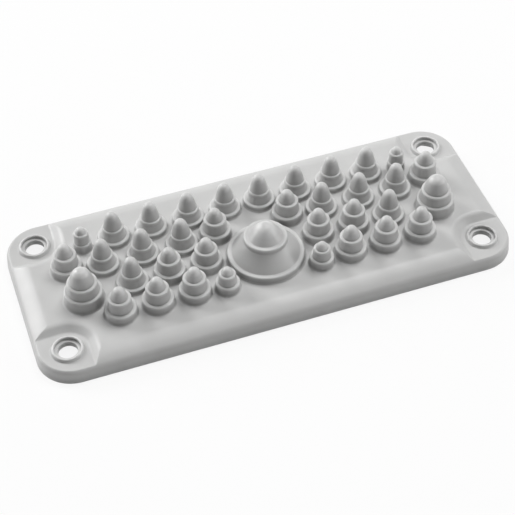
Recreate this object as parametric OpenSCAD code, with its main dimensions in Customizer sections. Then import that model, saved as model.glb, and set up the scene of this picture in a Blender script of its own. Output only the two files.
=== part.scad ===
// Cable entry plate: one elastomer moulding with stepped, closed cable nipples and four corner screw holes.
// The origin is the middle of the mounting face, +X runs along the plate and +Z points out of the nipples.

/* [Plate] */
// Length of the plate
plate_l = 148.5; // [146:0.5:156]
// Width of the plate
plate_w = 61.5; // [60:0.5:68]
// Radius of the outline's corners
corner_r = 11; // [8:0.5:13]
// Height of the raised field above the mounting face
field_h = 6.4; // [6:0.1:7.4]
// Height of the corner pads above the mounting face
pad_h = 4.5; // [4.2:0.1:5]
// Thickness of the top wall
skin_t = 1.8; // [1.4:0.1:2.4]
// Thickness of the skirt that stands on the mounting face
skirt_t = 3; // [2:0.1:4]

/* [Rounded edge] */
// Radius of the curve from the raised field into the shoulder
crease_r = 6; // [4:0.1:7]
// Radius of the shoulder
shoulder_r = 15; // [12:0.5:17]
// Radius of the turn from the shoulder to the wall
turn_r = 2; // [1.5:0.1:3]
// Slope at the start of the shoulder, in degrees
field_slope = 14; // [11:1:17]
// Slope where the shoulder meets the turn, in degrees
turn_slope = 30; // [26:1:33]
// Draft of the wall, in degrees
wall_draft = 5; // [1:0.5:6]

/* [Corner screws] */
// Distance between the screw holes along the plate
hole_dx = 130; // [128:0.5:133]
// Distance between the screw holes across the plate
hole_dy = 43; // [42:0.5:46]
// Diameter of the screw hole
hole_d = 5.9; // [4.5:0.1:6.4]
// Diameter of the counterbore
bore_d = 7.8; // [7:0.1:8]
// Depth of the counterbore below the collar's rim
bore_depth = 1.1; // [0.8:0.1:1.5]
// Chamfer at the counterbore's rim
bore_chamfer = 0.2; // [0.1:0.05:0.25]
// Diameter of the raised collar's foot on the pad
collar_d = 10; // [9.6:0.1:10.4]
// Diameter of the collar's rim
rim_d = 9.3; // [9.2:0.1:9.5]
// Height of the collar above the pad
collar_h = 1; // [0.6:0.1:1.4]
// Radius of the pad's flat floor around the screw hole
pad_r = 5.8; // [5.4:0.1:6]
// Radius of the hollow curve at the foot of the slope from the pad up to the raised field
hollow_r = 1.3; // [1:0.1:2]
// Radius of the round curve at the top of that slope
crown_r = 3.5; // [2.5:0.1:4]
// Slope from the pad up to the raised field, in degrees
pad_slope = 36; // [32:1:40]
// Slope at the edge of the raised field beside a pad, in degrees
slope_end = 5; // [4:1:10]

/* [Nipple rows] */
// Distance between neighbouring rows
row_pitch = 10; // [9.8:0.1:10.6]
// First nipple of the rear row, from the middle
rear_first = 5.6; // [5.4:0.1:6]
// Spacing along the rear row
rear_pitch = 11.9; // [11:0.1:12.2]
// First wide nipple of the second row, from the middle
second_first = 22.6; // [22:0.1:23]
// Spacing along the second row
second_pitch = 12.3; // [11.8:0.1:12.5]
// First nipple of the third row, from the middle
third_first = 17.8; // [17.6:0.1:18.2]
// Spacing along the third row
third_pitch = 11.5; // [11:0.1:11.8]
// First narrow nipple of the front row, from the middle
front_first = 24.5; // [24.2:0.1:25]
// Spacing along the front row
front_pitch = 11.3; // [11:0.1:11.6]

/* [Single nipples] */
// Place of the middle nipple, from the middle of the plate
middle_at = [0, -7.7]; // [-9:0.1:9]
// Place of the narrow nipples behind the middle one, from its row
inner_narrow_at = [11.6, 0.8]; // [-12:0.1:12]
// Place of the narrow nipples at the ends of the second row, from that row
end_narrow_at = [58, 2]; // [-59:0.1:59]
// Place of the slim nipples at the ends of the rear row, from that row
end_slim_at = [51.3, -0.8]; // [-52:0.1:52]
// Place of the small nipples beside the middle one, from the front row
inner_small_at = [14.8, -1.1]; // [-15:0.1:15]
// Place of the big nipples at the ends of the third row, from that row
big_at = [55.9, -1.1]; // [-56:0.1:56]

/* [Wide nipple] */
// Diameters of the foot, first tier, second tier and tip
wide_d = [10.3, 9.9, 6.7, 3.7]; // [1:0.1:12]
// Heights of the first tier, second tier and tip above the field
wide_h = [1.9, 5.5, 11]; // [1:0.1:16]
// Widths of the ledges on the first and second tiers
wide_ledge = [0.9, 0.5]; // [0.5:0.05:1.2]
// Radius of the dome's side
wide_side_r = 14; // [7:0.5:24]

/* [Narrow nipple] */
// Diameters of the foot, first tier, second tier and tip
narrow_d = [10, 9.6, 7, 3.6]; // [1:0.1:12]
// Heights of the first tier, second tier and tip above the field
narrow_h = [3, 7.1, 10.9]; // [1:0.1:16]
// Widths of the ledges on the first and second tiers
narrow_ledge = [1.1, 0.9]; // [0.5:0.05:1.2]
// Radius of the dome's side
narrow_side_r = 9; // [6:0.5:20]

/* [Small nipple] */
// Diameters of the foot, first tier, second tier and tip
small_d = [7.8, 7.4, 5.2, 3]; // [1:0.1:12]
// Heights of the first tier, second tier and tip above the field
small_h = [2.9, 6.4, 8.6]; // [1:0.1:16]
// Widths of the ledges on the first and second tiers
small_ledge = [0.9, 0.7]; // [0.5:0.05:0.9]
// Radius of the dome's side
small_side_r = 4; // [3.5:0.5:20]

/* [Slim nipple] */
// Diameters of the foot, first tier, second tier and tip
slim_d = [5.7, 5.6, 4.6, 3]; // [1:0.1:8]
// Heights of the first tier, second tier and tip above the field
slim_h = [3.3, 7, 8.8]; // [1:0.1:12]
// Widths of the ledges on the first and second tiers
slim_ledge = [0.45, 0.5]; // [0.4:0.05:0.5]
// Radius of the dome's side
slim_side_r = 4; // [3.5:0.5:20]

/* [Big nipple] */
// Diameters of the foot, first tier, second tier and tip
big_d = [12.2, 11.6, 9.1, 6]; // [1:0.1:14]
// Heights of the first tier, second tier and tip above the field
big_h = [4.2, 7.8, 12.9]; // [1:0.1:16]
// Widths of the ledges on the first and second tiers
big_ledge = [0.9, 0.9]; // [0.5:0.05:1.2]
// Radius of the dome's side
big_side_r = 8; // [7:0.5:20]

/* [Middle nipple] */
// Diameters of the foot, first tier, second tier and tip
middle_d = [24, 23.4, 13.2, 6.8]; // [1:0.1:26]
// Heights of the first tier, second tier and tip above the field
middle_h = [2.4, 8.9, 13.4]; // [1:0.1:16]
// Widths of the ledges on the first and second tiers
middle_ledge = [1, 1]; // [0.5:0.05:1.2]
// Radius of the dome's side
middle_side_r = 60; // [20:0.5:80]

/* [Nipple form] */
// Radius of the rounded rims on the tiers
rim_r = 0.45; // [0.2:0.05:0.5]
// Height of the second tier's upright side
step_h = 1.6; // [1:0.1:2]
// Radius of the fillet around the foot
foot_r = 0.5; // [0.3:0.1:0.8]
// Wall thickness of the nipples
nipple_wall = 1.1; // [0.8:0.1:1.2]

/* [Hidden] */
$fn = 64;
// Overlap of cuts and joins
over = 0.5;
// Straight steps in each arc of the rim and the pads
arc_steps = 6;
// Reach of the wedge that cuts an arc from a circle, in its radii
arc_reach = 1.2;
// Rise and run of the fillet around a foot, in its radii
fillet_rise = 0.94;
fillet_run = 0.65;
// Rows of nipples, and like nipples on each side of the middle in each row
rows = 4;
rear_count = 4;
second_count = 3;
third_count = 2;
front_count = 3;

// Each kind of nipple: its diameters, heights and ledges, and the radius of its dome's side
wide = [wide_d, wide_h, wide_ledge, wide_side_r];
narrow = [narrow_d, narrow_h, narrow_ledge, narrow_side_r];
small = [small_d, small_h, small_ledge, small_side_r];
slim = [slim_d, slim_h, slim_ledge, slim_side_r];
big = [big_d, big_h, big_ledge, big_side_r];
middle = [middle_d, middle_h, middle_ledge, middle_side_r];

// The rounded edge falls from the field to the wall in three arcs
crease_drop = crease_r * (1 - cos(field_slope));
crease_run = crease_r * sin(field_slope);
shoulder_drop = shoulder_r * (cos(field_slope) - cos(turn_slope));
shoulder_run = shoulder_r * (sin(turn_slope) - sin(field_slope));
turn_drop = turn_r * (cos(turn_slope) - sin(wall_draft));
turn_run = turn_r * (cos(wall_draft) - sin(turn_slope));
edge_h = field_h - crease_drop - shoulder_drop - turn_drop;
wall_run = edge_h * tan(wall_draft);
edge_run = crease_run + shoulder_run + turn_run + wall_run;

// The slope beside a pad rises in a hollow arc, a straight part and a round arc
pad_rise = field_h - pad_h;
hollow_rise = hollow_r * (1 - cos(pad_slope));
hollow_run = hollow_r * sin(pad_slope);
crown_rise = crown_r * (cos(slope_end) - cos(pad_slope));
crown_run = crown_r * (sin(pad_slope) - sin(slope_end));
ramp_rise = pad_rise - hollow_rise - crown_rise;
ramp_run = ramp_rise / tan(pad_slope);
pad_reach = pad_r + hollow_run + ramp_run + crown_run;

function polar(centre, r, angle) = centre + r * [cos(angle), sin(angle)];
function arc(centre, r, a, b) = [for (i = [1:arc_steps - 1]) polar(centre, r, a + (b - a) * i / arc_steps)];
function row_y(row) = ((rows - 1) / 2 - row) * row_pitch;
function row_x(first, pitch, count) = [for (i = [0:count - 1]) first + i * pitch];

// Part of a circle between its arc from angle a to angle b and the chord below it
module arc_cap(centre, r, a, b) {
    outside = arc_reach * r;
    intersection() {
        translate(centre) circle(r);
        polygon([
            polar(centre, r, a),
            polar(centre, outside, a),
            polar(centre, outside, b),
            polar(centre, r, b)
        ]);
    }
}

// Section of the plate's rim, as wide as the outline's corner radius
module edge_section() {
    wall_top = [corner_r - wall_run, edge_h];
    turn_c = polar(wall_top, -turn_r, wall_draft);
    turn_end = polar(turn_c, turn_r, 90 - turn_slope);
    shoulder_c = polar(turn_end, -shoulder_r, 90 - turn_slope);
    shoulder_end = polar(shoulder_c, shoulder_r, 90 - field_slope);
    crease_c = polar(shoulder_end, -crease_r, 90 - field_slope);
    polygon([
        [0, 0],
        [corner_r, 0],
        wall_top,
        each arc(turn_c, turn_r, wall_draft, 90 - turn_slope),
        turn_end,
        each arc(shoulder_c, shoulder_r, 90 - turn_slope, 90 - field_slope),
        shoulder_end,
        each arc(crease_c, crease_r, 90 - field_slope, 90),
        [corner_r - edge_run, field_h],
        [0, field_h]
    ]);
}

// Puts its children in all four quarters, mirrored about the plate's middle planes
module at_quarters() {
    for (sx = [0, 1], sy = [0, 1]) mirror([sx, 0, 0]) mirror([0, sy, 0]) children();
}

// A block with a rim on each side and a turned corner between the rims, laid face to face
module plate_block() {
    flat_l = plate_l - 2 * corner_r;
    flat_w = plate_w - 2 * corner_r;
    translate([-flat_l / 2, -flat_w / 2, 0]) cube([flat_l, flat_w, field_h]);
    for (turn = [0, 180]) rotate(turn) {
        translate([0, flat_w / 2, 0]) rotate([90, 0, 90])
            linear_extrude(flat_l, center = true) edge_section();
        translate([flat_l / 2, 0, 0]) rotate([90, 0, 0])
            linear_extrude(flat_w, center = true) edge_section();
    }
    at_quarters() translate([flat_l / 2, flat_w / 2, 0]) rotate_extrude(angle = 90) edge_section();
}

// Puts its children at each screw hole, with +X and +Y towards the middle of the plate
module at_holes() {
    at_quarters() translate([-hole_dx / 2, -hole_dy / 2, 0]) children();
}

// Section of the air above a pad, from the screw's axis out to the raised field
module pad_section() {
    hollow_c = [pad_r, pad_h + hollow_r];
    ramp_foot = polar(hollow_c, hollow_r, pad_slope - 90);
    ramp_top = ramp_foot + [ramp_run, ramp_rise];
    crown_c = polar(ramp_top, -crown_r, 90 + pad_slope);
    polygon([
        [0, pad_h],
        [pad_r, pad_h],
        each arc(hollow_c, hollow_r, -90, pad_slope - 90),
        ramp_foot,
        ramp_top,
        each arc(crown_c, crown_r, 90 + pad_slope, 90 + slope_end),
        [pad_reach, field_h],
        [pad_reach + over, field_h + over],
        [0, field_h + over]
    ]);
}

module pad_cut() {
    reach = 2 * corner_r;
    rotate_extrude(angle = 90) pad_section();
    rotate([90, 0, 0]) linear_extrude(reach) pad_section();
    mirror([1, -1, 0]) rotate([90, 0, 0]) linear_extrude(reach) pad_section();
    translate([-reach, -reach, pad_h]) cube([reach, reach, pad_rise + over]);
}

module collar() {
    rotate_extrude() {
        cone_section(collar_d / 2, collar_d / 2, pad_h - skin_t / 2, pad_h);
        tier(collar_d / 2, rim_d / 2, pad_h, pad_h + collar_h);
    }
}

module screw_hole() {
    rim = pad_h + collar_h;
    translate([0, 0, -over]) cylinder(h = rim + 2 * over, d = hole_d);
    translate([0, 0, rim - bore_depth]) cylinder(h = bore_depth + over, d = bore_d);
    translate([0, 0, rim - bore_chamfer])
        cylinder(h = 2 * bore_chamfer, d1 = bore_d, d2 = bore_d + 4 * bore_chamfer);
}

module block(l, w, h) {
    translate([-l / 2, -w / 2, -over]) cube([l, w, h + over]);
}

// Hollow side of the plate: the top wall and the skirt are left standing
module cavity() {
    inner_l = plate_l - 2 * skirt_t;
    inner_w = plate_w - 2 * skirt_t;
    inner_r = corner_r - skirt_t;
    low = pad_h - skin_t;
    high = field_h - skin_t;
    block(inner_l - 2 * inner_r, inner_w, low);
    block(inner_l, inner_w - 2 * inner_r, low);
    at_quarters() translate([inner_l / 2 - inner_r, inner_w / 2 - inner_r, -over])
        rotate_extrude(angle = 90) square([inner_r, low + over]);
    block(hole_dx - 2 * pad_reach, inner_w - edge_run, high);
    block(inner_l - edge_run, hole_dy - 2 * pad_reach, high);
}

// Puts its children on the field at a mirrored pair of places, with the nipple's kind in $kind
module pair(kind, at) {
    $kind = kind;
    for (side = [-1, 1]) translate([side * at.x, at.y, field_h]) children();
}

module at_nipples() {
    for (x = row_x(rear_first, rear_pitch, rear_count)) pair(wide, [x, row_y(0)]) children();
    for (x = row_x(second_first, second_pitch, second_count)) pair(wide, [x, row_y(1)]) children();
    pair(wide, [third_first + third_count * third_pitch, row_y(2)]) children();
    for (x = row_x(third_first, third_pitch, third_count)) pair(narrow, [x, row_y(2)]) children();
    for (x = row_x(front_first, front_pitch, front_count)) pair(narrow, [x, row_y(3)]) children();
    pair(narrow, inner_narrow_at + [0, row_y(1)]) children();
    pair(narrow, end_narrow_at + [0, row_y(1)]) children();
    pair(slim, end_slim_at + [0, row_y(0)]) children();
    pair(small, inner_small_at + [0, row_y(3)]) children();
    pair(big, big_at + [0, row_y(2)]) children();
    $kind = middle;
    translate([middle_at.x, middle_at.y, field_h]) children();
}

module cone_section(r0, r1, z0, z1) {
    polygon([[0, z0], [r0, z0], [r1, z1], [0, z1]]);
}

// Section of a tier with a rounded rim
module tier(r0, r1, z0, z1) {
    cone_section(r0, r1, z0, z1 - rim_r);
    cone_section(r1 - rim_r, r1 - rim_r, z0, z1);
    translate([r1 - rim_r, z1 - rim_r]) circle(rim_r);
}

// Section of the fillet around a foot, kept just short of running out level with the field
module foot_fillet(r) {
    rise = fillet_rise * foot_r;
    difference() {
        translate([r - foot_r, 0]) square([foot_r + fillet_run * foot_r, rise]);
        translate([r + foot_r, rise]) circle(foot_r);
    }
}

// Section of a dome: a curved side that runs into a round tip
module dome_section(r, z0, tip_r, z1, side_r) {
    foot = [r, z0];
    tip_c = [0, z1 - tip_r];
    gap = norm(tip_c - foot);
    along = (pow(side_r, 2) - pow(side_r - tip_r, 2) + pow(gap, 2)) / (2 * gap);
    across = sqrt(pow(side_r, 2) - pow(along, 2));
    way = (tip_c - foot) / gap;
    side_c = foot + along * way + across * [-way.y, way.x];
    meet_angle = atan2(tip_c.y - side_c.y, tip_c.x - side_c.x);
    foot_angle = atan2(foot.y - side_c.y, foot.x - side_c.x);
    meet = polar(side_c, side_r, meet_angle);
    polygon([[0, z0], foot, meet, [0, meet.y]]);
    arc_cap(side_c, side_r, foot_angle, meet_angle);
    intersection() {
        translate(tip_c) circle(tip_r);
        translate([0, meet.y]) square([r, z1]);
    }
}

// One nipple above the field: a foot tier, a cone with a second tier, and a domed tip
module nipple_body(kind) {
    r = kind[0] / 2;
    h = kind[1];
    ledge = kind[2];
    rotate_extrude() {
        tier(r[0], r[1], -skin_t / 2, h[0]);
        foot_fillet(r[0]);
        cone_section(r[1] - ledge[0], r[2], h[0] - rim_r, h[1] - step_h);
        tier(r[2], r[2], h[1] - step_h - rim_r, h[1]);
        dome_section(r[2] - ledge[1], h[1] - rim_r, r[3], h[2], kind[3]);
    }
}

// The hollow inside a nipple, open towards the mounting face
module nipple_hollow(kind) {
    r = kind[0] / 2;
    h = kind[1];
    ledge = kind[2];
    w = nipple_wall;
    rotate_extrude() polygon([
        [0, -skin_t - over],
        [r[1] - w, -skin_t - over],
        [r[1] - w, h[0] - w],
        [r[1] - ledge[0] - w, h[0] - w],
        [r[2] - w, h[1] - step_h - w],
        [r[2] - w, h[1] - w],
        [r[2] - ledge[1] - w, h[1] - w],
        [r[3] / 2, h[2] - w],
        [0, h[2] - w]
    ]);
}

module entry_plate() {
    color("lightgray")
        difference() {
            union() {
                difference() {
                    plate_block();
                    at_holes() pad_cut();
                }
                at_holes() collar();
                at_nipples() nipple_body($kind);
            }
            cavity();
            at_holes() screw_hole();
            at_nipples() nipple_hollow($kind);
        }
}

entry_plate();
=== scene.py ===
import math

import bpy
from mathutils import Matrix, Vector

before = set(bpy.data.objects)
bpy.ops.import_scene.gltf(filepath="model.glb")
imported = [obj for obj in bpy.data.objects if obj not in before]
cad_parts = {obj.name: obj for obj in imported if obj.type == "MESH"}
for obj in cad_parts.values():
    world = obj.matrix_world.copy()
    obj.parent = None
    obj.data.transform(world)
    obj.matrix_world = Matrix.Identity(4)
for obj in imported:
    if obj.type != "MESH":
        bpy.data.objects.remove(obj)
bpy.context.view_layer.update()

# Camera: its view is turned from +Y towards +X, tilted down and rolled, in degrees
# Its aim and distance are in metres, its sensor and lens in millimetres
AIM = Vector((-0.0009, -0.0020, 0.0))
AZIMUTH = 17.59
ELEVATION = 47.15
ROLL = -1.81
DISTANCE = 0.4314
SENSOR = 36
LENS = 98.1

# Lamps: name, azimuth from +X and elevation in degrees, diameter in metres, power in watts
LAMP_DISTANCE = 1.6
LAMPS = (
    ("back_left", 126, 31, 0.8, 15.0),
    ("low_left", 148, 10, 0.4, 4.5),
    ("key_right", 35, 62, 0.8, 11.5),
    ("side_right", 342, 22, 0.6, 6.0),
    ("top", 0, 88, 0.8, 5.5),
    ("low_front", 295, 10, 0.4, 0.6),
)

WHITE = (1, 1, 1, 1)
UNIT = (0, 1)

# Floor: its side and its gap below the plate in metres, and how much of it shows as plain white
FLOOR_SIZE = 4.0
FLOOR_GAP = 0.0001
FLOOR_COLOUR = (0.86, 0.86, 0.86, 1)
FLOOR_ROUGHNESS = 0.8
FLOOR_GLOW = 0.88

# Elastomer: noise scales are per metre, lengths in metres
# The mottle, the painted shade in grooves and the painted highlight on edges are factors on the colour,
# and the sheen is a range of roughness
PLATE_COLOUR = (0.55, 0.55, 0.545)
PLATE_SPECULAR = 0.5
MOTTLE_SCALE = 90
MOTTLE = (0.97, 1.03)
SHEEN_SCALE = 400
SHEEN = (0.34, 0.42)
GRAIN_SCALE = 2600
GRAIN_DEPTH = 0.00002
GRAIN_STRENGTH = 0.3
# Painted shade darkens walls deep in grooves: reach in metres, shade as a factor on the colour
PAINTED_SHADE_REACH = 0.003
PAINTED_GROOVE_SHADE = 0.3
# Painted highlight lightens thin edges and rims: reach in metres, highlight as a factor on the colour
PAINTED_HIGHLIGHT_REACH = 0.001
PAINTED_EDGE_HIGHLIGHT = 1.55
EDGE_RADIUS = 0.0005
NOISE_DETAIL = 3
NOISE_SPAN = (0.3, 0.7)


def add_camera():
    az, el = math.radians(AZIMUTH), math.radians(ELEVATION)
    forward = Vector((math.sin(az) * math.cos(el), math.cos(az) * math.cos(el), -math.sin(el)))
    place = Matrix.Translation(AIM - DISTANCE * forward)
    look = forward.to_track_quat("-Z", "Y").to_matrix().to_4x4()
    camera = bpy.data.objects.new("camera", bpy.data.cameras.new("camera"))
    camera.matrix_world = place @ look @ Matrix.Rotation(math.radians(ROLL), 4, "Z")
    camera.data.sensor_width = SENSOR
    camera.data.lens = LENS
    bpy.context.scene.collection.objects.link(camera)
    bpy.context.scene.camera = camera


def add_lamp(name, azimuth, elevation, size, power):
    """A round lamp that shines on the origin and stays out of the camera's view."""
    az, el = math.radians(azimuth), math.radians(elevation)
    direction = Vector((math.cos(az) * math.cos(el), math.sin(az) * math.cos(el), math.sin(el)))
    lamp = bpy.data.lights.new(name, "AREA")
    lamp.shape = "DISK"
    lamp.size = size
    lamp.energy = power
    holder = bpy.data.objects.new(name, lamp)
    holder.location = LAMP_DISTANCE * direction
    holder.rotation_euler = (-direction).to_track_quat("-Z", "Y").to_euler()
    holder.visible_camera = False
    bpy.context.scene.collection.objects.link(holder)


class Shader:
    """The nodes of a material or world, with short ways to add and join them."""

    def __init__(self, owner):
        owner.use_nodes = True
        self.owner = owner
        self.nodes = owner.node_tree.nodes

    def add(self, kind, **settings):
        node = self.nodes.new("ShaderNode" + kind)
        for key, value in settings.items():
            setattr(node, key, value)
        return node

    def join(self, output, socket):
        self.owner.node_tree.links.new(output, socket)

    def math(self, operation, *values):
        """A Math node, whose values are outputs to join or numbers."""
        node = self.add("Math", operation=operation)
        for socket, value in zip(node.inputs, values):
            if isinstance(value, (int, float)):
                socket.default_value = value
            else:
                self.join(value, socket)
        return node.outputs[0]

    def spread(self, value, span, onto):
        """A value mapped from one range to another."""
        node = self.add("MapRange")
        self.join(value, node.inputs["Value"])
        for name, number in zip(("From Min", "From Max", "To Min", "To Max"), (*span, *onto)):
            node.inputs[name].default_value = number
        return node.outputs["Result"]

    def noise(self, scale, onto=UNIT):
        """Noise that is fixed to the object, spread over a range."""
        place = self.add("TexCoord")
        texture = self.add("TexNoise")
        texture.inputs["Scale"].default_value = scale
        texture.inputs["Detail"].default_value = NOISE_DETAIL
        self.join(place.outputs["Object"], texture.inputs["Vector"])
        return self.spread(texture.outputs["Fac"], NOISE_SPAN, onto)

    def openness(self, reach, inside=False):
        """How open the surface is within a reach: low in grooves, or at edges when tested from inside."""
        node = self.add("AmbientOcclusion", inside=inside)
        node.inputs["Distance"].default_value = reach
        return node.outputs["AO"]

    def steepness(self):
        """How far the surface leans from level: 0 on flat tops, 1 on upright walls."""
        parts = self.add("SeparateXYZ")
        self.join(self.add("NewGeometry").outputs["Normal"], parts.inputs[0])
        return self.math("SUBTRACT", 1, self.math("ABSOLUTE", parts.outputs["Z"]))

    def seen(self):
        """1 for what shows straight on, mirrored or through glass, and 0 for the light it gives."""
        path = self.add("LightPath")
        total = self.math("ADD", path.outputs["Is Camera Ray"], path.outputs["Is Glossy Ray"])
        return self.math("ADD", total, path.outputs["Is Transmission Ray"])


def floor_material():
    """A pale floor that looks nearly white and keeps a soft shadow."""
    shader = Shader(bpy.data.materials.new("floor"))
    surface = shader.nodes["Principled BSDF"]
    surface.inputs["Base Color"].default_value = FLOOR_COLOUR
    surface.inputs["Roughness"].default_value = FLOOR_ROUGHNESS
    mix = shader.add("MixShader")
    shader.join(shader.math("MULTIPLY", shader.seen(), FLOOR_GLOW), mix.inputs[0])
    shader.join(surface.outputs[0], mix.inputs[1])
    shader.join(shader.add("Emission").outputs[0], mix.inputs[2])
    shader.join(mix.outputs[0], shader.nodes["Material Output"].inputs["Surface"])
    return shader.owner


def add_floor():
    half = FLOOR_SIZE / 2
    mesh = bpy.data.meshes.new("floor")
    corners = [(x * half, y * half, -FLOOR_GAP) for x, y in ((-1, -1), (1, -1), (1, 1), (-1, 1))]
    mesh.from_pydata(corners, [], [range(len(corners))])
    mesh.materials.append(floor_material())
    floor = bpy.data.objects.new("floor", mesh)
    bpy.context.scene.collection.objects.link(floor)


def elastomer_colour(shader):
    """Faintly mottled grey, with painted shade on walls that are shut in and a painted highlight along
    edges.
    """
    # Painted shade: upright walls are darkened where grooves shut them in
    painted_shade_depth = shader.math("SUBTRACT", 1, shader.openness(PAINTED_SHADE_REACH))
    painted_shade_mask = shader.math("MULTIPLY", painted_shade_depth, shader.steepness())
    painted_groove_shade = shader.spread(painted_shade_mask, UNIT, (1, PAINTED_GROOVE_SHADE))
    # Painted highlight: thin edges and rims are lightened
    painted_edge_highlight = shader.spread(shader.openness(PAINTED_HIGHLIGHT_REACH, inside=True), UNIT, (PAINTED_EDGE_HIGHLIGHT, 1))
    # The painted shade and the painted highlight, times the mottle, scale the colour
    tone_with_painted_light = shader.math("MULTIPLY", painted_groove_shade, painted_edge_highlight)
    tone_with_painted_light = shader.math("MULTIPLY", tone_with_painted_light, shader.noise(MOTTLE_SCALE, MOTTLE))
    tint = shader.add("VectorMath", operation="SCALE")
    tint.inputs[0].default_value = PLATE_COLOUR
    shader.join(tone_with_painted_light, tint.inputs["Scale"])
    return tint.outputs[0]


def elastomer_normal(shader):
    """Softened edges with a fine moulded grain over them."""
    edge = shader.add("Bevel")
    edge.inputs["Radius"].default_value = EDGE_RADIUS
    grain = shader.add("Bump")
    grain.inputs["Strength"].default_value = GRAIN_STRENGTH
    grain.inputs["Distance"].default_value = GRAIN_DEPTH
    shader.join(shader.noise(GRAIN_SCALE), grain.inputs["Height"])
    shader.join(edge.outputs["Normal"], grain.inputs["Normal"])
    return grain.outputs["Normal"]


def elastomer_material():
    """Pale grey moulded elastomer with a sheen that varies a little."""
    shader = Shader(bpy.data.materials.new("elastomer"))
    surface = shader.nodes["Principled BSDF"]
    surface.inputs["Specular IOR Level"].default_value = PLATE_SPECULAR
    shader.join(elastomer_colour(shader), surface.inputs["Base Color"])
    shader.join(shader.noise(SHEEN_SCALE, SHEEN), surface.inputs["Roughness"])
    shader.join(elastomer_normal(shader), surface.inputs["Normal"])
    return shader.owner


def dress_plate():
    elastomer = elastomer_material()
    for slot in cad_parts["entry_plate"].material_slots:
        slot.material = elastomer


def add_world():
    """A white backdrop that is seen behind the object and mirrored in it, and gives no other light."""
    shader = Shader(bpy.data.worlds.new("studio"))
    background = shader.nodes["Background"]
    background.inputs["Color"].default_value = WHITE
    shader.join(shader.seen(), background.inputs["Strength"])
    bpy.context.scene.world = shader.owner


bpy.context.scene.view_settings.view_transform = "Standard"
add_camera()
add_world()
add_floor()
for lamp in LAMPS:
    add_lamp(*lamp)
dress_plate()
